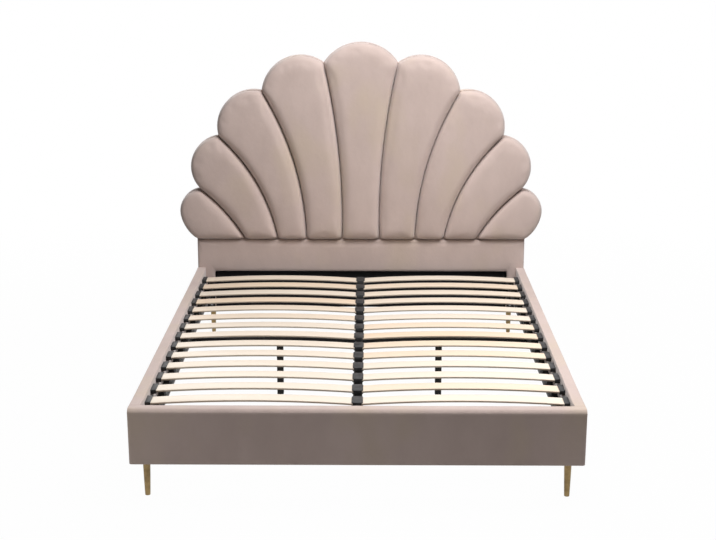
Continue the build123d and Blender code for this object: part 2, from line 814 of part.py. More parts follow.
# Brass legs: tapered, with a threaded stud on top
for place, spot in (("front", front_leg), ("rear", rear_leg)):
    for side, sign in (("left", -1), ("right", 1)):
        foot = (sign * spot[0], spot[1], 0)
        with BuildPart() as leg:
            with BuildSketch(Plane(origin=foot, x_dir=(1, 0, 0), z_dir=(0, -1, 0))):
                with BuildLine():
                    middle = (leg_foot_radius + leg_top_radius) / 2 + leg_swell
                    Line((0, 0), (leg_foot_radius, 0))
                    Spline(
                        (leg_foot_radius, 0), (middle, leg_height / 2), (leg_top_radius, leg_height)
                    )
                    Line((leg_top_radius, leg_height), (0, leg_height))
                    Line((0, leg_height), (0, 0))
                make_face()
            revolve(axis=Axis(foot, (0, 0, 1)))
            leg_top = Plane.XY.offset(leg_height)
            add(pegs(leg_top, [foot[:2]], leg_stud_radius, leg_stud_length))
        save(leg.part, f"leg_{place}_{side}")
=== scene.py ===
"""An upholstered bed frame dressed for its picture.

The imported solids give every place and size. The velvet petals, rails and footboard, the cloth
sheets, the birch slats, their caps and the legs are modelled here on those places. The steel,
the support legs and their feet keep their solids' shapes, with rounded edges.
"""
import json
import logging
import math
from collections.abc import Callable, Sequence
from dataclasses import dataclass, field
from enum import Enum
from typing import Any

import bpy
from bpy.types import Material, Node, NodeSocket, Object, World
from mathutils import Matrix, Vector, noise

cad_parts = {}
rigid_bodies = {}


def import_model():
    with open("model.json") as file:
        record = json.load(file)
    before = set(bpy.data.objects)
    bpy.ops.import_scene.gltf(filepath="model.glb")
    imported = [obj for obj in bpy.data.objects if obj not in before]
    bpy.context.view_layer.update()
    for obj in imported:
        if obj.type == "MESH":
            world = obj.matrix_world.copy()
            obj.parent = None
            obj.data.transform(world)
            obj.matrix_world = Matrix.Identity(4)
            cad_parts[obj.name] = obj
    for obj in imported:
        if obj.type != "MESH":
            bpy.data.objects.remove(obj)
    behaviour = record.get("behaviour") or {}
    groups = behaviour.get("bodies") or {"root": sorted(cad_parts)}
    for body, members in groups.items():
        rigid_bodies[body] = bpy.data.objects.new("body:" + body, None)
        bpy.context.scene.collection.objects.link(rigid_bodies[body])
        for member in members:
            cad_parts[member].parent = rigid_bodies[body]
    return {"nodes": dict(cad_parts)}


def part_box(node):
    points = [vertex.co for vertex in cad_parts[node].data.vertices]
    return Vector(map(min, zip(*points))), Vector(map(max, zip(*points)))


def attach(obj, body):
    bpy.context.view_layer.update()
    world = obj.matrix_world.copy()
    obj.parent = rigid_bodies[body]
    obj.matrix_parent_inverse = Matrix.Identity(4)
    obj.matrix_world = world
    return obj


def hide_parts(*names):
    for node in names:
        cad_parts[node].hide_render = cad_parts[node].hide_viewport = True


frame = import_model()

log = logging.getLogger("bed")
BODY = "bed"
Colour = tuple[float, float, float]
Pair = tuple[float, float]
Place = Sequence[float]


# Shader maths


class Number:
    """A socket that carries a number. Python operators on it add Math nodes."""

    def __init__(self, graph: "Graph", socket: NodeSocket) -> None:
        """Keep the graph and the output socket.

        Args:
            graph: The graph that new nodes go into.
            socket: The output socket with the number.
        """
        self.graph = graph
        self.socket = socket

    def _math(self, operation: str, *values: Any) -> "Number":
        """Add one Math node.

        Args:
            operation: The node's operation.
            values: Its inputs in order, as numbers or Number objects.

        Returns:
            The node's result.
        """
        return self.graph.number("ShaderNodeMath", 0, {"operation": operation}, dict(enumerate(values)))

    def __add__(self, other: Any) -> "Number":
        """Sum."""
        return self._math("ADD", self, other)

    __radd__ = __add__

    def __sub__(self, other: Any) -> "Number":
        """Difference."""
        return self._math("SUBTRACT", self, other)

    def __rsub__(self, other: Any) -> "Number":
        """Difference with the number on the right."""
        return self._math("SUBTRACT", other, self)

    def __mul__(self, other: Any) -> "Number":
        """Product."""
        return self._math("MULTIPLY", self, other)

    __rmul__ = __mul__

    def __truediv__(self, other: Any) -> "Number":
        """Quotient."""
        return self._math("DIVIDE", self, other)

    def __abs__(self) -> "Number":
        """Absolute value."""
        return self._math("ABSOLUTE", self)

    def floor(self) -> "Number":
        """Whole number below."""
        return self._math("FLOOR", self)

    def above(self, limit: float) -> "Number":
        """1 where the number is over a limit, else 0."""
        return self._math("GREATER_THAN", self, limit)

    def larger(self, other: Any) -> "Number":
        """The larger of two numbers."""
        return self._math("MAXIMUM", self, other)

    def sine(self) -> "Number":
        """Sine of the number in radians."""
        return self._math("SINE", self)


class Graph:
    """The nodes of one material or world."""

    def __init__(self, owner: Material | World, output: str = "ShaderNodeOutputMaterial") -> None:
        """Start with an empty graph.

        Args:
            owner: The material or world.
            output: The type of its output node.
        """
        self.owner = owner
        owner.use_nodes = True
        self.tree = owner.node_tree
        self.tree.nodes.clear()
        self.output = self.node(output)

    def node(self, kind: str, settings: dict | None = None, inputs: dict | None = None) -> Node:
        """Add a node.

        Args:
            kind: The node's type.
            settings: Attributes, set first.
            inputs: Values or links, by socket name or index.

        Returns:
            The new node.
        """
        made = self.tree.nodes.new(kind)
        for key, value in (settings or {}).items():
            setattr(made, key, value)
        for key, value in (inputs or {}).items():
            socket = made.inputs[key]
            if isinstance(value, Number):
                self.tree.links.new(value.socket, socket)
            elif isinstance(value, NodeSocket):
                self.tree.links.new(value, socket)
            elif socket.type == "RGBA" and len(value) == 3:
                socket.default_value = (*value, 1.0)
            else:
                socket.default_value = value
        return made

    def number(
        self, kind: str, output: str | int, settings: dict | None = None, inputs: dict | None = None
    ) -> Number:
        """Add a node and take one of its outputs as a number.

        Args:
            kind: The node's type.
            output: The output's name or index.
            settings: Attributes, set first.
            inputs: Values or links, by socket name or index.

        Returns:
            The output.
        """
        return Number(self, self.node(kind, settings, inputs).outputs[output])

    def place(self, stretch: Place = (1, 1, 1), turn: Place = (0, 0, 0)) -> NodeSocket:
        """A point on the piece, stretched and turned.

        Args:
            stretch: Scale along X, Y and Z.
            turn: Rotation in radians.

        Returns:
            The vector socket.
        """
        where = self.node("ShaderNodeTexCoord").outputs["Object"]
        inputs = {"Vector": where, "Scale": tuple(stretch), "Rotation": tuple(turn)}
        return self.node("ShaderNodeMapping", None, inputs).outputs["Vector"]

    def parts(self, coordinate: str) -> tuple[Number, ...]:
        """The X, Y and Z of a texture coordinate, such as Object or Normal."""
        where = self.node("ShaderNodeTexCoord").outputs[coordinate]
        split = self.node("ShaderNodeSeparateXYZ", None, {0: where})
        return tuple(Number(self, out) for out in split.outputs)

    def cloud(
        self, scale: float, detail: float = 2.0, stretch: Place = (1, 1, 1), turn: Place = (0, 0, 0)
    ) -> Number:
        """A noise from 0 to 1.

        Args:
            scale: Waves per metre.
            detail: Layers of finer noise.
            stretch: Scale along each axis.
            turn: Rotation in radians.

        Returns:
            The noise.
        """
        inputs = {"Vector": self.place(stretch, turn), "Scale": scale, "Detail": detail, "Roughness": 0.58}
        return self.number("ShaderNodeTexNoise", 0, None, inputs)

    def spread(
        self, value: Number, low: float, high: float, first: float = 0.0, last: float = 1.0
    ) -> Number:
        """Map a range of a number to another, held at its ends.

        Args:
            value: The number.
            low: Start of its range.
            high: End of its range.
            first: Result at the start.
            last: Result at the end.

        Returns:
            The mapped number.
        """
        inputs = {0: value, 1: low, 2: high, 3: first, 4: last}
        return self.number("ShaderNodeMapRange", 0, {"clamp": True}, inputs)

    def blend(self, share: Number, first: Any, second: Any) -> NodeSocket:
        """Mix two colours.

        Args:
            share: 0 gives the first, 1 the second.
            first: A colour or a colour socket.
            second: A colour or a colour socket.

        Returns:
            The colour socket.
        """
        settings = {"data_type": "RGBA", "clamp_factor": True}
        return self.node("ShaderNodeMix", settings, {0: share, 6: first, 7: second}).outputs[2]

    def bump(self, height: Number, depth: float, under: NodeSocket | None = None) -> NodeSocket:
        """Raise a surface by a height map.

        Args:
            height: The height from 0 to 1.
            depth: What 1 stands for, in metres.
            under: Another bump's normal to add to.

        Returns:
            The normal socket.
        """
        inputs = {"Height": height, "Distance": depth}
        if under is not None:
            inputs["Normal"] = under
        return self.node("ShaderNodeBump", None, inputs).outputs[0]

    def seen(self) -> Number:
        """1 for what the camera sees, straight, reflected or through glass."""
        path = self.node("ShaderNodeLightPath")
        rays = [Number(self, path.outputs[f"Is {ray} Ray"]) for ray in ("Camera", "Glossy", "Transmission")]
        return rays[0].larger(rays[1]).larger(rays[2])

    def close(self, shader: Node) -> Any:
        """Link the last shader to the output and return the material or world."""
        self.tree.links.new(shader.outputs[0], self.output.inputs[0])
        return self.owner

    def surface(
        self, tone: NodeSocket, rough: Number, normal: NodeSocket | None = None, fixed: dict | None = None
    ) -> Material:
        """Close the graph with one Principled shader.

        Args:
            tone: Its colour.
            rough: Its roughness.
            normal: Its normal, where it has a relief.
            fixed: Values that hold all over.

        Returns:
            The material.
        """
        inputs = {**(fixed or {}), "Base Color": tone, "Roughness": rough}
        if normal is not None:
            inputs["Normal"] = normal
        return self.close(self.node("ShaderNodeBsdfPrincipled", None, inputs))


def shade(red: int, green: int, blue: int) -> Colour:
    """A screen colour, 0 to 255, as the linear one that shaders use.

    Args:
        red: Red.
        green: Green.
        blue: Blue.

    Returns:
        The linear colour.
    """
    return tuple(
        (c / 255 / 12.92) if c <= 10 else ((c / 255 + 0.055) / 1.055) ** 2.4 for c in (red, green, blue)
    )


# Finishes


@dataclass(frozen=True)
class Velvet:
    """Short-pile velvet with soft brushed marks."""

    light: Colour = shade(207, 188, 181)
    dark: Colour = shade(195, 176, 169)
    beige: Colour = shade(201, 183, 168)
    stroke_depth: float = 0.0006
    dimple_depth: float = 0.0007
    nap_depth: float = 0.0002
    sheen: float = 0.48
    sheen_tone: Colour = (0.92, 0.95, 0.97)

    def material(self) -> Material:
        """Build the material."""
        g = Graph(bpy.data.materials.new("mushroom_velvet"))
        patches = g.cloud(3.1, 3.0, (1.0, 1.0, 0.7))
        strokes = g.cloud(11.0, 3.0, (1.2, 1.0, 0.6), (0.0, 0.5, 0.0))
        lean = g.spread(patches * 0.6 + strokes * 0.4, 0.36, 0.64)
        flecks = g.spread(g.cloud(420.0, 2.0), 0.3, 0.7, 0.0, 0.3)
        tone = g.blend(flecks, g.blend(lean, self.dark, self.light), self.dark)
        faded = g.cloud(4.3, 2.0, (1.0, 1.0, 0.6), (0.0, 0.3, 0.7))
        tone = g.blend(g.spread(faded, 0.48, 0.66, 0.0, 0.8), tone, self.beige)
        dimples = g.bump(g.cloud(42.0, 1.0), self.dimple_depth, g.bump(strokes, self.stroke_depth))
        nap = g.bump(g.cloud(2400.0, 1.0), self.nap_depth, dimples)
        fixed = {
            "Sheen Weight": self.sheen,
            "Sheen Roughness": 0.5,
            "Sheen Tint": self.sheen_tone,
            "Specular IOR Level": 0.1,
        }
        return g.surface(tone, g.spread(lean, 0.0, 1.0, 0.95, 0.84), nap, fixed)


@dataclass(frozen=True)
class Birch:
    """Clear-finished layered birch, each slat with its own tint."""

    first_row: float
    pitch: float
    pale: Colour = shade(226, 214, 199)
    warm: Colour = shade(226, 198, 168)
    edge: Colour = shade(214, 196, 174)
    layers: float = 5.0
    grain_depth: float = 0.0002

    def material(self) -> Material:
        """Build the material."""
        g = Graph(bpy.data.materials.new("slat_birch"))
        across, along, _ = g.parts("Object")
        row = ((self.first_row - along) / self.pitch + 0.5).floor()
        slat = row * 2.0 + across.above(0.0)
        chance = g.number("ShaderNodeTexWhiteNoise", 0, {"noise_dimensions": "1D"}, {"W": slat})
        tint = g.spread(chance, 0.45, 1.0, 0.05, 0.85)
        grain = g.cloud(5.0, 5.0, (0.35, 9.0, 9.0))
        lines = g.cloud(16.0, 3.0, (0.25, 14.0, 14.0))
        face = g.blend(tint * g.spread(grain, 0.3, 0.7, 0.6, 1.0), self.pale, self.warm)
        face = g.blend(g.spread(lines, 0.55, 0.75, 0.0, 0.18), face, self.edge)
        depth = g.number("ShaderNodeAttribute", "Fac", {"attribute_name": "ply"})
        plies = g.spread((depth * (math.pi * self.layers)).sine(), 0.0, 0.5, 0.45, 1.0)
        side = abs(g.parts("Normal")[1])
        tone = g.blend(g.spread(side, 0.55, 0.95) * plies, face, self.edge)
        rough = g.spread(grain, 0.3, 0.7, 0.42, 0.55)
        return g.surface(tone, rough, g.bump(lines, self.grain_depth), {"Specular IOR Level": 0.4})


@dataclass(frozen=True)
class Timber:
    """Planed softwood inside the upholstery."""

    pale: Colour = shade(214, 184, 142)
    dark: Colour = shade(176, 138, 96)
    grain_depth: float = 0.0003

    def material(self) -> Material:
        """Build the material."""
        g = Graph(bpy.data.materials.new("frame_pine"))
        rings = g.cloud(4.0, 4.0, (1.0, 6.0, 1.0))
        grain = g.cloud(30.0, 3.0, (0.5, 3.0, 6.0))
        tone = g.blend(g.spread(rings * 0.6 + grain * 0.4, 0.35, 0.65), self.pale, self.dark)
        return g.surface(tone, g.spread(grain, 0.3, 0.7, 0.62, 0.78), g.bump(grain, self.grain_depth))


@dataclass(frozen=True)
class PowderCoat:
    """Satin powder coat on steel, a little polished where it is rubbed."""

    coat: Colour = shade(23, 23, 24)
    worn: Colour = shade(42, 42, 44)
    peel_depth: float = 0.0002

    def material(self) -> Material:
        """Build the material."""
        g = Graph(bpy.data.materials.new("steel_powder_coat"))
        rubs = g.spread(g.cloud(18.0, 4.0), 0.6, 0.75, 0.0, 0.5)
        rough = g.spread(g.cloud(40.0, 2.0), 0.3, 0.7, 0.40, 0.56)
        peel = g.bump(g.cloud(700.0, 2.0), self.peel_depth)
        return g.surface(g.blend(rubs, self.coat, self.worn), rough, peel, {"Specular IOR Level": 0.2})


@dataclass(frozen=True)
class Moulded:
    """Moulded plastic with a fine spark grain and a little dust."""

    name: str
    tone: Colour
    dusty: Colour
    gloss: float = 0.45
    grain_depth: float = 0.0001

    def material(self) -> Material:
        """Build the material."""
        g = Graph(bpy.data.materials.new(self.name))
        dust = g.spread(g.cloud(45.0, 3.0), 0.4, 0.7)
        rough = g.spread(dust, 0.0, 1.0, 1.0 - self.gloss - 0.06, 1.0 - self.gloss + 0.1)
        grain = g.bump(g.cloud(1500.0, 1.0), self.grain_depth)
        return g.surface(g.blend(dust, self.tone, self.dusty), rough, grain, {"Specular IOR Level": 0.2})


@dataclass(frozen=True)
class Brass:
    """Brushed gold plate, turned on a lathe."""

    bright: Colour = shade(148, 126, 88)
    dull: Colour = shade(112, 94, 66)
    turning_depth: float = 0.0001

    def material(self) -> Material:
        """Build the material."""
        g = Graph(bpy.data.materials.new("leg_brass"))
        turning = g.cloud(60.0, 3.0, (1.0, 1.0, 30.0))
        tone = g.blend(g.spread(g.cloud(25.0, 3.0), 0.35, 0.7), self.bright, self.dull)
        rough = g.spread(turning, 0.3, 0.7, 0.26, 0.42)
        return g.surface(tone, rough, g.bump(turning, self.turning_depth), {"Metallic": 1.0})


@dataclass(frozen=True)
class Zinc:
    """Bright zinc plate."""

    bright: Colour = shade(150, 150, 153)
    cloudy: Colour = shade(118, 119, 123)

    def material(self) -> Material:
        """Build the material."""
        g = Graph(bpy.data.materials.new("bolt_zinc"))
        spangle = g.spread(g.cloud(300.0, 2.0), 0.35, 0.65)
        tone = g.blend(spangle, self.bright, self.cloudy)
        rough = g.spread(spangle, 0.0, 1.0, 0.28, 0.42)
        return g.surface(tone, rough, fixed={"Metallic": 1.0})


@dataclass(frozen=True)
class LiningCloth:
    """Thin black non-woven cloth with pressed dots."""

    tone: Colour = shade(30, 30, 32)
    lint: Colour = shade(62, 62, 64)
    relief_depth: float = 0.0002

    def material(self) -> Material:
        """Build the material."""
        g = Graph(bpy.data.materials.new("lining_cloth"))
        fibres = g.cloud(900.0, 3.0, (1.0, 1.0, 0.4))
        inputs = {"Vector": g.place(), "Scale": 420.0, "Randomness": 0.15}
        dots = g.spread(g.number("ShaderNodeTexVoronoi", "Distance", None, inputs), 0.15, 0.4)
        tone = g.blend(g.spread(fibres, 0.5, 0.8, 0.0, 0.7), self.tone, self.lint)
        relief = g.bump(dots, self.relief_depth, g.bump(fibres, self.relief_depth))
        rough = g.spread(dots, 0.0, 1.0, 0.8, 0.95)
        return g.surface(tone, rough, relief, {"Specular IOR Level": 0.2})


class Finish(Enum):
    """Every finish on the bed, by the record's slot that it stands for."""

    VELVET = "velvet"
    CLOTH = "black_cloth"
    TIMBER = "frame_timber"
    BIRCH = "slat_timber"
    STEEL = "black_steel"
    ZINC = "zinc_steel"
    PLASTIC = "black_plastic"
    FOOT = "foot_plastic"
    BRASS = "brass"


class Palette:
    """The bed's materials, made once and shared."""

    def __init__(self, first_row: float, pitch: float) -> None:
        """Make every material.

        Args:
            first_row: Y of the first slat row's middle, in metres.
            pitch: Distance from row to row, in metres.
        """
        makers = {
            Finish.VELVET: Velvet(),
            Finish.CLOTH: LiningCloth(),
            Finish.TIMBER: Timber(),
            Finish.BIRCH: Birch(first_row, pitch),
            Finish.STEEL: PowderCoat(),
            Finish.ZINC: Zinc(),
            Finish.PLASTIC: Moulded("cap_plastic", shade(42, 42, 43), shade(70, 70, 71)),
            Finish.FOOT: Moulded("foot_plastic", shade(34, 34, 36), shade(52, 52, 54), 0.5),
            Finish.BRASS: Brass(),
        }
        self.materials = {finish: maker.material() for finish, maker in makers.items()}

    def settle(self, piece: Object, finish: Finish, nodes: Sequence[str] = (), body: str = BODY) -> None:
        """Dress a new piece, let it ride and hide the solids that it stands for.

        Args:
            piece: The piece.
            finish: Its finish.
            nodes: The solids that it replaces.
            body: The body that carries it.
        """
        piece.data.materials.clear()
        piece.data.materials.append(self.materials[finish])
        if nodes:
            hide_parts(*nodes)
        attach(piece, body)
        log.info("%s: %d faces, %s", piece.name, len(piece.data.polygons), finish.value)

    def keep(self, node: str, finish: Finish) -> None:
        """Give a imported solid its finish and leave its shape.

        Args:
            node: The solid's name.
            finish: Its finish.
        """
        for slot in frame["nodes"][node].material_slots:
            slot.material = self.materials[finish]
        log.info("%s keeps its solid, %s", node, finish.value)


# Modelling


class Pick(Enum):
    """What a selection in edit mode is made of."""

    CORNERS = "VERT"
    EDGES = "EDGE"
    FACES = "FACE"


class Bench:
    """Blender's operators, with nothing left selected by accident."""

    @staticmethod
    def clear() -> None:
        """Leave edit mode and deselect everything."""
        if bpy.context.object and bpy.context.object.mode != "OBJECT":
            bpy.ops.object.mode_set(mode="OBJECT")
        bpy.ops.object.select_all(action="DESELECT")

    @staticmethod
    def pick(piece: Object) -> None:
        """Select one piece and make it active."""
        Bench.clear()
        piece.select_set(True)
        bpy.context.view_layer.objects.active = piece

    @staticmethod
    def placed(name: str, size: Place = (1, 1, 1)) -> Object:
        """Name the primitive that was just added, at its size, with its place in its mesh.

        Args:
            name: The piece's name.
            size: Scale along its own axes.

        Returns:
            The piece.
        """
        piece = bpy.context.object
        piece.name = piece.data.name = name
        piece.scale = size
        bpy.ops.object.transform_apply(location=True, rotation=True, scale=True)
        return piece

    @staticmethod
    def block(name: str, low: Place, high: Place) -> Object:
        """Add a cube between two corners as the start of a piece.

        Args:
            name: The piece's name.
            low: Its lowest corner.
            high: Its highest corner.

        Returns:
            The piece.
        """
        Bench.clear()
        bpy.ops.mesh.primitive_cube_add(size=1.0, location=[(a + b) / 2 for a, b in zip(low, high)])
        return Bench.placed(name, [b - a for a, b in zip(low, high)])

    @staticmethod
    def choose(piece: Object, what: Pick, test: Callable[..., bool]) -> None:
        """Open a piece for editing with some of its elements selected.

        Args:
            piece: The piece.
            what: The kind of element.
            test: Takes a corner's place, an edge's two places or a face.
        """
        Bench.pick(piece)
        bpy.ops.object.mode_set(mode="EDIT")
        bpy.ops.mesh.select_mode(type=what.value)
        bpy.ops.mesh.select_all(action="DESELECT")
        bpy.ops.object.mode_set(mode="OBJECT")
        corners = piece.data.vertices
        if what is Pick.CORNERS:
            for corner in corners:
                corner.select = test(corner.co)
        elif what is Pick.EDGES:
            for edge in piece.data.edges:
                edge.select = test(*(corners[number].co for number in edge.vertices))
        else:
            for face in piece.data.polygons:
                face.select = test(face)
        bpy.ops.object.mode_set(mode="EDIT")

    @staticmethod
    def outward(piece: Object) -> None:
        """Merge doubled corners and turn every face outwards."""
        Bench.choose(piece, Pick.CORNERS, lambda place: True)
        bpy.ops.mesh.remove_doubles(threshold=0.00001)
        bpy.ops.mesh.select_all(action="SELECT")
        bpy.ops.mesh.normals_make_consistent(inside=False)
        Bench.clear()

    @staticmethod
    def solid(node: str, name: str, flat: bool = True) -> Object:
        """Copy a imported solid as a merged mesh.

        Args:
            node: The solid's name.
            name: The copy's name.
            flat: Whether flat faces become one piece.

        Returns:
            The copy.
        """
        piece = bpy.data.objects.new(name, frame["nodes"][node].data.copy())
        piece.data.name = name
        bpy.context.scene.collection.objects.link(piece)
        Bench.pick(piece)
        bpy.ops.mesh.customdata_custom_splitnormals_clear()
        Bench.outward(piece)
        if flat:
            Bench.choose(piece, Pick.FACES, lambda face: True)
            bpy.ops.mesh.dissolve_limited(angle_limit=math.radians(0.5))
            Bench.clear()
        return piece

    @staticmethod
    def copy(piece: Object, name: str, shift: Place = (0, 0, 0), size: Place = (1, 1, 1)) -> Object:
        """Copy a piece with its own mesh.

        Args:
            piece: The piece.
            name: The copy's name.
            shift: How far its mesh moves.
            size: Its scale, with -1 for a mirrored axis.

        Returns:
            The copy.
        """
        Bench.pick(piece)
        bpy.ops.object.duplicate()
        bpy.context.object.location = shift
        return Bench.placed(name, size)

    @staticmethod
    def join(name: str, pieces: Sequence[Object]) -> Object:
        """Join pieces into one.

        Args:
            name: The joined piece's name.
            pieces: The pieces.

        Returns:
            The joined piece.
        """
        Bench.clear()
        for piece in pieces:
            piece.select_set(True)
        bpy.context.view_layer.objects.active = pieces[0]
        bpy.ops.object.join()
        joined = bpy.context.object
        joined.name = joined.data.name = name
        return joined

    @staticmethod
    def modify(piece: Object, kind: str, **settings: Any) -> None:
        """Add a modifier and apply it.

        Args:
            piece: The piece.
            kind: The modifier's type.
            settings: Its settings.
        """
        Bench.pick(piece)
        modifier = piece.modifiers.new(kind.lower(), kind)
        for key, value in settings.items():
            setattr(modifier, key, value)
        bpy.ops.object.modifier_apply(modifier=modifier.name)

    @staticmethod
    def cells(piece: Object, low: Place, high: Place, size: float) -> None:
        """Cut a piece's faces into cells with planes across every axis.

        Args:
            piece: The piece.
            low: The lowest corner of its box.
            high: The highest corner of its box.
            size: The cells' size, at most.
        """
        Bench.choose(piece, Pick.FACES, lambda face: True)
        for axis in range(3):
            count = math.ceil((high[axis] - low[axis]) / size)
            for cut in range(1, count):
                spot = list(low)
                spot[axis] += cut * (high[axis] - low[axis]) / count
                bpy.ops.mesh.select_all(action="SELECT")
                bpy.ops.mesh.bisect(plane_co=spot, plane_no=[float(axis == way) for way in range(3)])
        Bench.clear()

    @staticmethod
    def rounded(piece: Object, width: float, segments: int = 2) -> None:
        """Round every sharp edge of a piece and shade it smooth.

        Args:
            piece: The piece.
            width: The rounding's width.
            segments: Faces across the rounding.
        """
        settings = {"width": width, "segments": segments, "limit_method": "ANGLE", "harden_normals": False}
        Bench.modify(piece, "BEVEL", **settings)
        Bench.smooth(piece, 35)

    @staticmethod
    def smooth(piece: Object, degrees: float) -> None:
        """Shade a piece smooth up to an angle."""
        Bench.pick(piece)
        bpy.ops.object.shade_smooth_by_angle(angle=math.radians(degrees))


@dataclass(frozen=True)
class Cushion:
    """A pad waiting for its stuffing.

    Its held points stay where they are. The others may move sideways and forward by so much,
    and are eased so many times before and after.
    """

    piece: Object
    held: Callable[[Vector], bool]
    sideways: float
    forward: float
    eased: tuple[int, int]


@dataclass
class Stuffing:
    """Foam and wadding, as cloth blown up from inside.

    The front of a pad faces -Y. Every pad in a batch swells in the same frames.
    """

    pressure: float = 4.0
    frames: int = 20
    steps: int = 5
    mass: float = 0.3
    stretching: float = 15.0
    bending: float = 6.0
    batch: list[Cushion] = field(default_factory=list)

    def queue(self, cushion: Cushion, voxel: float = 0.0) -> None:
        """Ease a pad's edges and let it wait for its batch.

        Args:
            cushion: The pad.
            voxel: Size of its even mesh, or 0 to keep the mesh that it has.
        """
        piece = cushion.piece
        if voxel:
            Bench.modify(piece, "REMESH", mode="VOXEL", voxel_size=voxel)
        group = piece.vertex_groups.new(name="held")
        group.add([corner.index for corner in piece.data.vertices if cushion.held(corner.co)], 1.0, "REPLACE")
        self.ease(piece, cushion.eased[0])
        self.batch.append(cushion)

    @staticmethod
    def ease(piece: Object, passes: int) -> None:
        """Smooth a pad's free points a number of times."""
        settings = {"factor": 0.5, "iterations": passes, "vertex_group": "held"}
        Bench.modify(piece, "SMOOTH", invert_vertex_group=True, **settings)

    def _prepare(self, piece: Object) -> None:
        """Give a pad its cloth."""
        cloth = piece.modifiers.new("stuffing", "CLOTH")
        cloth.settings.quality = self.steps
        cloth.settings.mass = self.mass
        cloth.settings.tension_stiffness = self.stretching
        cloth.settings.compression_stiffness = self.stretching
        cloth.settings.bending_stiffness = self.bending
        cloth.settings.use_pressure = True
        cloth.settings.uniform_pressure_force = self.pressure
        cloth.settings.vertex_group_mass = "held"
        cloth.settings.effector_weights.gravity = 0.0
        cloth.collision_settings.use_collision = False
        cloth.point_cache.frame_end = self.frames

    def swell(self) -> None:
        """Blow up every pad in the batch, cap how far it moves, and smooth it."""
        starts = [[corner.co.copy() for corner in cushion.piece.data.vertices] for cushion in self.batch]
        for cushion in self.batch:
            self._prepare(cushion.piece)
        for number in range(1, self.frames + 1):
            bpy.context.scene.frame_set(number)
        for cushion in self.batch:
            Bench.pick(cushion.piece)
            bpy.ops.object.modifier_apply(modifier="stuffing")
        bpy.context.scene.frame_set(1)
        for cushion, start in zip(self.batch, starts):
            for corner, was in zip(cushion.piece.data.vertices, start):
                corner.co = self._capped(was, corner.co, cushion)
            self.ease(cushion.piece, cushion.eased[1])
            Bench.modify(cushion.piece, "SUBSURF", levels=1, render_levels=1)
            cushion.piece.vertex_groups.clear()
            Bench.pick(cushion.piece)
            bpy.ops.object.shade_smooth()
        self.batch.clear()

    @staticmethod
    def _capped(was: Vector, now: Vector, cushion: Cushion) -> Vector:
        """Where a corner may end.

        Args:
            was: Where it started.
            now: Where the cloth took it.
            cushion: Its pad.

        Returns:
            The place within the pad's limits.
        """
        move = now - was
        side = Vector((move.x, 0.0, move.z))
        if side.length > 0.0:
            side.length = cushion.sideways * math.tanh(side.length / cushion.sideways)
        reach = cushion.forward if move.y < 0.0 else cushion.sideways
        return was + side + Vector((0.0, reach * math.tanh(move.y / reach), 0.0))


# Sub-assemblies


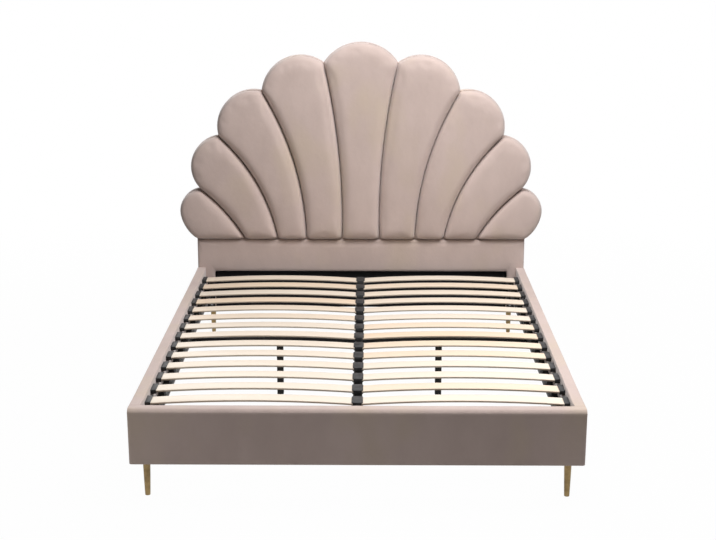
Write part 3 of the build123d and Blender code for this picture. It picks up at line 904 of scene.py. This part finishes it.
@dataclass
class Headboard:
    """The petal fan, its lower panel, edge, lining and back cloth."""

    palette: Palette
    stuffing: Stuffing
    petals_each_side: int = 4
    petal_voxel: float = 0.0065
    petal_swell: float = 0.006
    petal_eased: tuple[int, int] = (14, 14)
    petal_wall: float = 0.020
    petal_crown: float = 0.024
    petal_fullness: float = 1.8
    seam_play: float = 0.0009
    pad_voxel: float = 0.006
    pad_eased: tuple[int, int] = (1, 1)
    pinned: float = 0.004
    pad_swell: float = 0.003
    edge_round: float = 0.0013
    turn_in: float = 0.022
    turn_in_sunk: float = 0.0007
    cloth_thickness: float = 0.0006
    lining_gap: float = 0.0012
    lining_cuts: tuple[int, int] = (72, 10)
    sag: float = 0.0012
    back_sag: float = 0.006
    back_cell: float = 0.045
    hem: float = 0.05

    def build(self) -> None:
        """Build every visible piece of the headboard and dress the timber behind."""
        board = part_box("headboard_board")[0].y
        self.pads(board)
        self.ground(board)
        self.edge()
        self.lining(board)
        self.back()
        for node in ("headboard_board", "headboard_posts", "headboard_cross_rails", "headboard_head_blocks"):
            self.palette.keep(node, Finish.TIMBER)

    def pads(self, board: float) -> None:
        """Stuff the petals, and the lower pad in one with the strips beside the lining.

        Args:
            board: Y of the board's front.
        """
        lower = ("headboard_lower_pad", "headboard_side_strips")
        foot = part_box(lower[0])[0].z
        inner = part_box("headboard_lining")[1].x - self.pinned

        def base(place: Vector) -> bool:
            """True on the board."""
            return place.y > board - self.pinned

        def border(place: Vector) -> bool:
            """True on the board and along the lining's top edge."""
            return base(place) or (abs(place.z - foot) < self.pinned and abs(place.x) < inner)

        numbers = range(1, self.petals_each_side + 1)
        petals = [f"petal_{side}_{number}" for side in ("left", "right") for number in numbers]
        for node in ("petal_centre", *petals):
            petal = Bench.solid(node, f"velvet_{node}")
            cushion = Cushion(petal, base, self.seam_play, self.petal_swell, self.petal_eased)
            self.stuffing.queue(cushion, self.petal_voxel)
            self.plump(petal, board)
            self.palette.settle(petal, Finish.VELVET, [node])
        panel = Bench.join("velvet_lower_panel", [Bench.solid(node, f"{node}_start") for node in lower])
        cushion = Cushion(panel, border, self.seam_play, self.pad_swell, self.pad_eased)
        self.stuffing.queue(cushion, self.pad_voxel)
        self.palette.settle(panel, Finish.VELVET, lower)
        self.stuffing.swell()

    def plump(self, piece: Object, board: float) -> None:
        """Draw a petal's shoulders out, so that it is broad between tight rolls.

        Args:
            piece: The petal.
            board: Y of the board's front.
        """
        for corner in piece.data.vertices:
            share = (board - self.petal_wall - corner.co.y) / self.petal_crown
            if share > 0.0:
                full = 1.0 - (1.0 - min(share, 1.0)) ** self.petal_fullness
                corner.co.y = board - self.petal_wall - self.petal_crown * full

    def ground(self, board: float) -> None:
        """Stretch velvet over the board's front, where it shows between the petals.

        Args:
            board: Y of the board's front.
        """
        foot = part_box("headboard_lower_pad")[0].z + 2 * self.pinned
        piece = Bench.solid("headboard_board", "velvet_ground")
        Bench.choose(piece, Pick.FACES, lambda face: face.normal.y > -0.9)
        bpy.ops.mesh.delete(type="FACE")
        Bench.choose(piece, Pick.FACES, lambda face: True)
        bpy.ops.mesh.bisect(plane_co=(0.0, board, foot), plane_no=(0.0, 0.0, 1.0), clear_inner=True)
        Bench.clear()
        Bench.modify(piece, "SOLIDIFY", thickness=self.cloth_thickness, offset=1.0)
        self.palette.settle(piece, Finish.VELVET)

    def edge(self) -> None:
        """Wrap the fan's edge in padded velvet."""
        piece = Bench.solid("headboard_edge_cover", "velvet_edge", flat=False)
        Bench.rounded(piece, self.edge_round, 3)
        self.palette.settle(piece, Finish.VELVET, ["headboard_edge_cover"])

    def lining(self, board: float) -> None:
        """Stretch the black lining over the board's lower front, slack between its edges.

        Args:
            board: Y of the board's front.
        """
        low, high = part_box("headboard_lining")
        flat = (high.x - low.x, high.z - low.z)
        middle = ((low.x + high.x) / 2, board - self.lining_gap, (low.z + high.z) / 2)
        upright = (math.pi / 2, 0, 0)
        across, up = self.lining_cuts
        Bench.clear()
        bpy.ops.mesh.primitive_grid_add(
            x_subdivisions=across, y_subdivisions=up, size=1.0, location=middle, rotation=upright
        )
        piece = Bench.placed("lining_sheet", (*flat, 1.0))
        for corner in piece.data.vertices:
            place = corner.co
            if min(place.z - low.z, high.z - place.z) > self.pinned:
                wave = noise.noise((place.x * 3.0, 0.0, place.z * 6.0))
                place.y -= self.sag * (0.5 + 0.5 * wave)
        Bench.modify(piece, "SOLIDIFY", thickness=self.cloth_thickness, offset=0.0)
        Bench.pick(piece)
        bpy.ops.object.shade_smooth()
        self.palette.settle(piece, Finish.CLOTH, ["headboard_lining"])

    def back(self) -> None:
        """Turn the velvet in around the back and cover the rest with black cloth."""
        low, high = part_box("headboard_back_cloth")
        whole = Bench.solid("headboard_back_cloth", "velvet_turn_in")
        Bench.choose(whole, Pick.FACES, lambda face: face.normal.y < 0.9)
        bpy.ops.mesh.delete(type="FACE")
        Bench.choose(whole, Pick.FACES, lambda face: True)
        bpy.ops.mesh.inset(thickness=self.turn_in, depth=0.0)
        bpy.ops.mesh.separate(type="SELECTED")
        Bench.clear()
        cloth = next(piece for piece in bpy.data.objects if piece.name.startswith("velvet_turn_in."))
        cloth.name = cloth.data.name = "back_cloth"
        self.billow(cloth, low, high)
        Bench.choose(whole, Pick.FACES, lambda face: True)
        bpy.ops.transform.translate(value=(0.0, -self.turn_in_sunk, 0.0))
        Bench.clear()
        for piece in (whole, cloth):
            Bench.modify(piece, "SOLIDIFY", thickness=self.cloth_thickness, offset=-1.0)
        Bench.smooth(cloth, 40)
        self.palette.settle(whole, Finish.VELVET)
        self.palette.settle(cloth, Finish.CLOTH, ["headboard_back_cloth"])

    def billow(self, cloth: Object, low: Vector, high: Vector) -> None:
        """Cut the back cloth into cells and let it hang a little slack inside its stapled edge.

        Args:
            cloth: The flat cloth.
            low: Its lowest corner.
            high: Its highest corner.
        """
        corners = [corner.co.copy() for corner in cloth.data.vertices]
        edges = [(corners[a], corners[b]) for a, b in (edge.vertices for edge in cloth.data.edges)]
        Bench.cells(cloth, low, high, self.back_cell)
        for corner in cloth.data.vertices:
            place = corner.co
            gap = min((place - self.nearest(place, a, b)).length for a, b in edges)
            broad = noise.noise((place.x * 2.2, 0.0, place.z * 3.1))
            fine = noise.noise((place.x * 7.0, 5.0, place.z * 9.0))
            wave = max(0.5 + broad + 0.3 * fine, 0.0)
            place.y += self.back_sag * min(gap / self.hem, 1.0) ** 2 * wave

    @staticmethod
    def nearest(place: Vector, start: Vector, end: Vector) -> Vector:
        """The point of a straight edge that is nearest to a place.

        Args:
            place: The place.
            start: The edge's start.
            end: The edge's end.

        Returns:
            The nearest point.
        """
        along = end - start
        share = (place - start).dot(along) / max(along.length_squared, 1e-12)
        return start + along * min(max(share, 0.0), 1.0)


@dataclass
class PaddedSides:
    """The two side rails and the footboard, each a timber core in a padded velvet sleeve."""

    palette: Palette
    stuffing: Stuffing
    cell: float = 0.014
    swell: float = 0.0025
    edge_round: float = 0.0025
    foot_round: float = 0.020
    end_round: float = 0.006
    corner_round: float = 0.010
    pinned: float = 0.004
    near: float = 0.001
    upright: float = 0.1

    def build(self) -> None:
        """Build the sleeves and dress their cores."""
        made = []
        for node in ("rail_cover_left", "rail_cover_right", "footboard_cover"):
            low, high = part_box(node)
            across = node == "footboard_cover"
            piece = Bench.block(f"velvet_{node}", low, high)
            front, top, tall = low.y + self.near, high.z - self.near, self.upright
            width = self.foot_round if across else self.end_round
            self.roll(piece, lambda a, b: max(a.y, b.y) < front and min(a.z, b.z) > top, width)
            if across:
                width = self.corner_round
                self.roll(piece, lambda a, b: max(a.y, b.y) < front and abs(a.z - b.z) > tall, width)
            settings = {"segments": 2, "limit_method": "ANGLE", "angle_limit": math.radians(50)}
            Bench.modify(piece, "BEVEL", width=self.edge_round, **settings)
            Bench.cells(piece, low, high, self.cell)
            ends = self.ends(low, high, 0 if across else 1)
            self.stuffing.queue(Cushion(piece, ends, self.swell, self.swell, (0, 0)))
            made.append((piece, node))
        self.stuffing.swell()
        for piece, node in made:
            self.palette.settle(piece, Finish.VELVET, [node])
        for node in ("rail_core_left", "rail_core_right", "footboard_core"):
            self.palette.keep(node, Finish.TIMBER)

    def roll(self, piece: Object, test: Callable[[Vector, Vector], bool], width: float) -> None:
        """Round some of a sleeve's edges.

        Args:
            piece: The sleeve.
            test: Takes an edge's two places.
            width: The rounding's width.
        """
        Bench.choose(piece, Pick.EDGES, test)
        bpy.ops.mesh.bevel(offset=width, segments=4, affect="EDGES")
        Bench.clear()

    def ends(self, low: Place, high: Place, long_way: int) -> Callable[[Vector], bool]:
        """A test for the points that the underside and the ends hold.

        Args:
            low: The sleeve's lowest corner.
            high: The sleeve's highest corner.
            long_way: The axis along the sleeve, 0 or 1.

        Returns:
            The test.
        """
        first, last = low[long_way] + self.pinned, high[long_way] - self.pinned
        foot = low[2] + self.pinned
        return lambda place: place.z < foot or not first < place[long_way] < last


@dataclass
class SlatBase:
    """Fourteen rows of two sprung slats, held in caps."""

    palette: Palette
    rows: int = 14
    slat_width: float = 0.068
    slat_thickness: float = 0.008
    slat_bow: float = 0.013
    slat_round: float = 0.0030
    spin_steps: int = 16
    cap_wall: float = 0.003
    cap_round: float = 0.0012
    pocket_play: float = 0.0003
    pocket_mouth: float = 0.002
    web: float = 0.001
    centre_cut: float = 0.007
    foot_size: Pair = (0.024, 0.040)
    lug_size: tuple[float, float, float] = (0.012, 0.008, 0.007)
    rib: Pair = (0.0030, 0.0008)
    lap: float = 0.0002
    near: float = 0.004

    def build(self) -> None:
        """Build one slat and one cap of each kind, and copy them along the bed."""
        self.slats()
        self.side_caps()
        self.centre_caps()

    def row_places(self) -> list[float]:
        """Y of every row's middle, from the head."""
        boxes = [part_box(f"slat_row_{number:02d}") for number in range(1, self.rows + 1)]
        return [(low.y + high.y) / 2 for low, high in boxes]

    def slats(self) -> None:
        """Spin one bowed slat from its rounded section, then copy it."""
        low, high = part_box("slat_row_01")
        places = self.row_places()
        near, far = self.near_end(), high.x
        half = (far - near) / 2
        radius = (half**2 + self.slat_bow**2) / (2 * self.slat_bow)
        turn = math.asin(half / radius)
        centre = Vector(((near + far) / 2, places[0], low.z + self.slat_bow - radius))
        middle = radius + self.slat_thickness / 2
        start = centre + Vector((-middle * math.sin(turn), 0.0, middle * math.cos(turn)))
        Bench.clear()
        bpy.ops.mesh.primitive_plane_add(size=1.0, location=start, rotation=(0.0, math.pi / 2 - turn, 0.0))
        slat = Bench.placed("slat", (self.slat_thickness, self.slat_width, 1.0))
        Bench.choose(slat, Pick.CORNERS, lambda place: True)
        bpy.ops.mesh.bevel(offset=self.slat_round, segments=3, affect="VERTICES")
        bpy.ops.mesh.select_all(action="SELECT")
        bpy.ops.mesh.spin(steps=self.spin_steps, angle=-2 * turn, center=centre, axis=(0.0, 1.0, 0.0))
        Bench.outward(slat)
        ply = slat.data.attributes.new("ply", "FLOAT", "POINT")
        for corner in slat.data.vertices:
            reach = Vector((corner.co.x - centre.x, 0.0, corner.co.z - centre.z)).length
            ply.data[corner.index].value = (reach - radius) / self.slat_thickness
        Bench.smooth(slat, 40)
        for number, y in enumerate(places, start=1):
            for side, shift in (("right", 0.0), ("left", -2 * centre.x)):
                piece = Bench.copy(slat, f"slat_{number:02d}_{side}", (shift, y - places[0], 0.0))
                self.palette.settle(piece, Finish.BIRCH, [f"slat_row_{number:02d}"])
        bpy.data.objects.remove(slat)

    def near_end(self) -> float:
        """X where a slat's inner end stands, from the solid itself."""
        corners = frame["nodes"]["slat_row_01"].data.vertices
        return min(corner.co.x for corner in corners if corner.co.x > 0)

    def pocket_floor(self) -> float:
        """Z of the pockets' floor, just under a slat's end."""
        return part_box("slat_row_01")[0].z - self.pocket_play

    def sleeve(self, ends: Pair, top: float, pockets: Sequence[Pair], cut: float = 0.0) -> Object:
        """The upper part of the first row's cap, hollowed for the slats' ends.

        Args:
            ends: X of its two ends.
            top: Z of its top.
            pockets: X of each pocket's two ends.
            cut: How much of its upright edges is cut off.

        Returns:
            The sleeve.
        """
        y = self.row_places()[0]
        depth = 2 * self.cap_wall + self.slat_width + 2 * self.pocket_play
        pocket_depth = depth / 2 - self.cap_wall
        bottom = self.pocket_floor() - self.cap_wall
        cap = Bench.block("sleeve", (ends[0], y - depth / 2, bottom), (ends[1], y + depth / 2, top))
        if cut:
            Bench.choose(cap, Pick.EDGES, lambda a, b: abs(a.z - b.z) > self.near)
            bpy.ops.mesh.bevel(offset=cut, segments=1, affect="EDGES")
            Bench.clear()
        for start, end in pockets:
            low = (start, y - pocket_depth, bottom + self.cap_wall)
            high = (end, y + pocket_depth, top - self.cap_wall)
            cutter = Bench.block("pocket", low, high)
            Bench.modify(cap, "BOOLEAN", object=cutter, operation="DIFFERENCE", solver="EXACT")
            bpy.data.objects.remove(cutter)
        return cap

    def foot(self, x: float, base: float) -> list[Object]:
        """The foot of the first row's cap, with framed long sides and a lug below.

        Args:
            x: Its middle.
            base: Z of its underside.

        Returns:
            The foot's shells.
        """
        y = self.row_places()[0]
        wide, long = self.foot_size
        top = self.pocket_floor() - self.cap_wall + self.lap
        foot = Bench.block("foot", (x - wide / 2, y - long / 2, base), (x + wide / 2, y + long / 2, top))
        Bench.choose(foot, Pick.FACES, lambda face: abs(face.normal.x) > 0.9)
        bpy.ops.mesh.inset(thickness=self.rib[0], depth=-self.rib[1], use_individual=True)
        Bench.clear()
        wide, long, deep = self.lug_size
        low = (x - wide / 2, y - long / 2, base - deep)
        high = (x + wide / 2, y + long / 2, base + self.lap)
        return [foot, Bench.block("lug", low, high)]

    def row_cap(self, name: str, shells: list[Object]) -> Object:
        """Round the edges of a cap's shells and join them.

        Args:
            name: The cap's name.
            shells: Its shells.

        Returns:
            The cap.
        """
        for shell in shells:
            Bench.rounded(shell, self.cap_round)
        return Bench.join(name, shells)

    def spread(self, cap: Object, name: str, node: str) -> None:
        """Copy a cap to every row and join the run.

        Args:
            cap: The first row's cap.
            name: The run's name.
            node: The solid that it replaces.
        """
        places = self.row_places()
        shifts = [(0.0, y - places[0], 0.0) for y in places]
        run = [Bench.copy(cap, f"{name}_{number}", shift) for number, shift in enumerate(shifts)]
        self.palette.settle(Bench.join(name, run), Finish.PLASTIC, [node])
        bpy.data.objects.remove(cap)

    def side_caps(self) -> None:
        """Caps over the slats' outer ends, standing on the side bars."""
        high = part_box("caps_right")[1]
        bar_low, bar_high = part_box("side_bar_right")
        corners = frame["nodes"]["caps_right"].data.vertices
        inner = min(corner.co.x for corner in corners if abs(corner.co.z - high.z) < self.near)
        pocket = (inner - self.pocket_mouth, high.x - self.cap_wall)
        cap = self.sleeve((inner, high.x), high.z, [pocket])
        y = self.row_places()[0]
        x = (bar_low.x + bar_high.x) / 2
        wide, long = self.foot_size
        floor = self.pocket_floor()
        low = (x - wide / 2, y - long / 2, floor - self.cap_wall)
        arm = Bench.block("arm", low, (inner + self.lap, y + long / 2, floor))
        right = self.row_cap("cap_right", [cap, arm, *self.foot(x, bar_high.z)])
        left = Bench.copy(right, "cap_left", size=(-1, 1, 1))
        Bench.outward(left)
        self.spread(right, "side_caps_right", "caps_right")
        self.spread(left, "side_caps_left", "caps_left")

    def centre_caps(self) -> None:
        """Double caps over the middle rail, with their four corners cut off."""
        low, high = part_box("centre_caps")
        start, end = self.near_end() - self.web, high.x + self.pocket_mouth
        cap = self.sleeve((low.x, high.x), high.z, [(-end, -start), (start, end)], self.centre_cut)
        double = self.row_cap("cap_centre", [cap, *self.foot(0.0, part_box("centre_rail")[1].z)])
        self.spread(double, "double_caps", "centre_caps")


@dataclass
class SteelFrame:
    """The tubes, cradles, brackets and bolts under the slats."""

    palette: Palette
    tube_round: float = 0.0022
    plate_round: float = 0.0006
    bolt_round: float = 0.0004

    def build(self) -> None:
        """Round the steel's edges and dress it."""
        tubes = ["side_bar_left", "side_bar_right", "centre_rail"]
        tubes += ["cross_beam_foot", "cross_beam_mid", "cross_beam_head"]
        plan = [(node, self.tube_round, Finish.STEEL) for node in tubes]
        plan += [(node, self.plate_round, Finish.STEEL) for node in ("beam_cradles", "corner_brackets")]
        plan += [(node, self.bolt_round, Finish.ZINC) for node in ("frame_bolts", "headboard_bolts")]
        for node, width, finish in plan:
            piece = Bench.solid(node, f"{node}_dressed")
            Bench.rounded(piece, width)
            self.palette.settle(piece, finish, [node])


@dataclass
class Supports:
    """The two square support legs with their plugs and levelling feet."""

    palette: Palette
    tube_round: float = 0.0007
    plug_round: float = 0.0008
    disc_round: float = 0.001

    def build(self) -> None:
        """Build both legs, both feet and the plugs between them."""
        for side in ("left", "right"):
            leg = Bench.solid(f"support_leg_{side}", f"support_leg_{side}_dressed")
            Bench.rounded(leg, self.tube_round)
            self.palette.settle(leg, Finish.STEEL, [f"support_leg_{side}"])
            foot = Bench.solid(f"levelling_foot_{side}", f"levelling_foot_{side}_dressed")
            Bench.rounded(foot, self.disc_round)
            self.palette.settle(foot, Finish.FOOT, [f"levelling_foot_{side}"], f"foot_{side}")
        plugs = Bench.solid("support_inserts", "support_plugs")
        Bench.rounded(plugs, self.plug_round)
        self.palette.settle(plugs, Finish.PLASTIC, ["support_inserts"])


@dataclass
class BrassLegs:
    """Four tapered legs, turned from one disc."""

    palette: Palette
    sides: int = 48
    foot_radius: float = 0.0095
    top_radius: float = 0.0135
    swell: float = 0.0003
    rim: float = 0.0012
    steps: int = 8

    def build(self) -> None:
        """Turn one leg and copy it under every corner."""
        names = ("front_left", "front_right", "rear_left", "rear_right")
        spots = {name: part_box(f"leg_{name}") for name in names}
        low, high = spots["front_left"]
        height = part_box("rail_cover_left")[0].z
        middle = Vector(((low.x + high.x) / 2, (low.y + high.y) / 2, 0.0))
        radius = self.foot_radius
        taper = self.top_radius - self.foot_radius
        Bench.clear()
        disc = {"vertices": self.sides, "radius": radius, "fill_type": "NGON"}
        bpy.ops.mesh.primitive_circle_add(location=middle, **disc)
        leg = Bench.placed("leg")
        Bench.choose(leg, Pick.FACES, lambda face: True)
        rise = {"value": (0.0, 0.0, height / self.steps)}
        for step in range(1, self.steps + 1):
            share = step / self.steps
            wanted = self.foot_radius + taper * share + self.swell * math.sin(math.pi * share)
            bpy.ops.mesh.extrude_region_move(TRANSFORM_OT_translate=rise)
            bpy.ops.transform.resize(value=(wanted / radius, wanted / radius, 1.0), center_override=middle)
            radius = wanted
        Bench.outward(leg)
        Bench.choose(leg, Pick.EDGES, lambda a, b: max(a.z, b.z) < 0.0001)
        bpy.ops.mesh.bevel(offset=self.rim, segments=3, affect="EDGES")
        Bench.clear()
        Bench.smooth(leg, 40)
        for name, (corner, opposite) in spots.items():
            shift = ((corner.x + opposite.x) / 2 - middle.x, (corner.y + opposite.y) / 2 - middle.y, 0.0)
            self.palette.settle(Bench.copy(leg, f"brass_leg_{name}", shift), Finish.BRASS, [f"leg_{name}"])
        bpy.data.objects.remove(leg)


@dataclass
class Studio:
    """A white floor and surround, three soft lights and the camera."""

    floor_size: float = 60.0
    floor_tone: float = 0.45
    floor_glow: float = 0.985
    fill: float = 0.102
    fill_tone: Colour = (1.0, 0.93, 0.87)
    key_power: float = 140.0
    key_size: Pair = (2.8, 1.6)
    key_place: tuple[float, float, float] = (1.0, -0.45, 3.2)
    back_power: float = 70.0
    back_size: Pair = (2.6, 1.6)
    back_place: tuple[float, float, float] = (-0.5, 3.9, 2.7)
    back_aim: tuple[float, float, float] = (0.0, 1.07, 0.8)
    side_power: float = 5.1
    side_size: Pair = (1.2, 0.8)
    side_place: tuple[float, float, float] = (-1.9, -2.2, 0.9)
    side_aim: tuple[float, float, float] = (-0.7, -1.07, 0.24)
    shadow_reach: Pair = (1.6, 4.0)
    eye: tuple[float, float, float] = (0.043, -5.65955, 1.9788)
    pitch: float = 13.91
    yaw: float = 0.0085
    lens: float = 70.317

    def build(self) -> None:
        """Set the floor, the surround, the light and the camera."""
        self.floor()
        self.surround()
        self.light("key", self.key_place, (*self.key_place[:2], 0.0), self.key_size, self.key_power)
        self.light("back", self.back_place, self.back_aim, self.back_size, self.back_power)
        self.light("side", self.side_place, self.side_aim, self.side_size, self.side_power)
        self.camera()

    def floor(self) -> None:
        """A plain floor that keeps a faint shadow."""
        Bench.clear()
        bpy.ops.mesh.primitive_grid_add(x_subdivisions=4, y_subdivisions=4, size=self.floor_size)
        piece = Bench.placed("floor")
        g = Graph(bpy.data.materials.new("studio_floor"))
        tone = g.blend(g.cloud(1.5, 2.0), (self.floor_tone,) * 3, (self.floor_tone - 0.01,) * 3)
        matt = g.node("ShaderNodeBsdfDiffuse", None, {"Color": tone})
        glow = g.node("ShaderNodeEmission", None, {"Color": (1.0, 1.0, 1.0), "Strength": 1.0})
        across, along, _ = g.parts("Object")
        distance = across * across + along * along
        near, far = (reach**2 for reach in self.shadow_reach)
        share = g.seen() * g.spread(distance, near, far, self.floor_glow, 1.0)
        shaders = {0: share, 1: matt.outputs[0], 2: glow.outputs[0]}
        piece.data.materials.append(g.close(g.node("ShaderNodeMixShader", None, shaders)))

    def surround(self) -> None:
        """White where it is seen, a low even fill where it lights."""
        g = Graph(bpy.data.worlds.new("surround"), "ShaderNodeOutputWorld")
        low = g.node("ShaderNodeBackground", None, {"Color": self.fill_tone, "Strength": self.fill})
        white = g.node("ShaderNodeBackground", None, {"Color": (1.0, 1.0, 1.0), "Strength": 1.0})
        shaders = {0: g.seen(), 1: low.outputs[0], 2: white.outputs[0]}
        bpy.context.scene.world = g.close(g.node("ShaderNodeMixShader", None, shaders))

    def light(self, name: str, place: Place, aim: Place, size: Pair, power: float) -> None:
        """Hang a soft rectangular light.

        Args:
            name: Its name.
            place: Where it hangs.
            aim: The point that it faces.
            size: Its width and length.
            power: Its power in watts.
        """
        Bench.clear()
        turn = (Vector(aim) - Vector(place)).to_track_quat("-Z", "Y").to_euler()
        bpy.ops.object.light_add(type="AREA", location=place, rotation=turn)
        lamp = bpy.context.object
        lamp.visible_camera = False
        lamp.name = name
        lamp.data.shape = "RECTANGLE"
        lamp.data.size, lamp.data.size_y = size
        lamp.data.energy = power

    def camera(self) -> None:
        """Stand the camera where the photograph was taken."""
        Bench.clear()
        turn = (math.radians(90.0 - self.pitch), 0.0, self.yaw)
        bpy.ops.object.camera_add(location=self.eye, rotation=turn)
        camera = bpy.context.object
        camera.data.lens = self.lens
        camera.data.sensor_width = 36.0
        bpy.context.scene.camera = camera


def main() -> None:
    """Build the bed and its studio."""
    logging.basicConfig(level=logging.INFO, format="%(message)s")
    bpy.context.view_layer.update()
    rows = [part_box(f"slat_row_{number:02d}") for number in (1, 2)]
    middles = [(low.y + high.y) / 2 for low, high in rows]
    palette = Palette(middles[0], middles[0] - middles[1])
    stuffing = Stuffing()
    Headboard(palette, stuffing).build()
    PaddedSides(palette, stuffing).build()
    SlatBase(palette).build()
    SteelFrame(palette).build()
    Supports(palette).build()
    BrassLegs(palette).build()
    Studio().build()
    bpy.context.scene.view_settings.view_transform = "Standard"


if __name__ == "__main__":
    main()
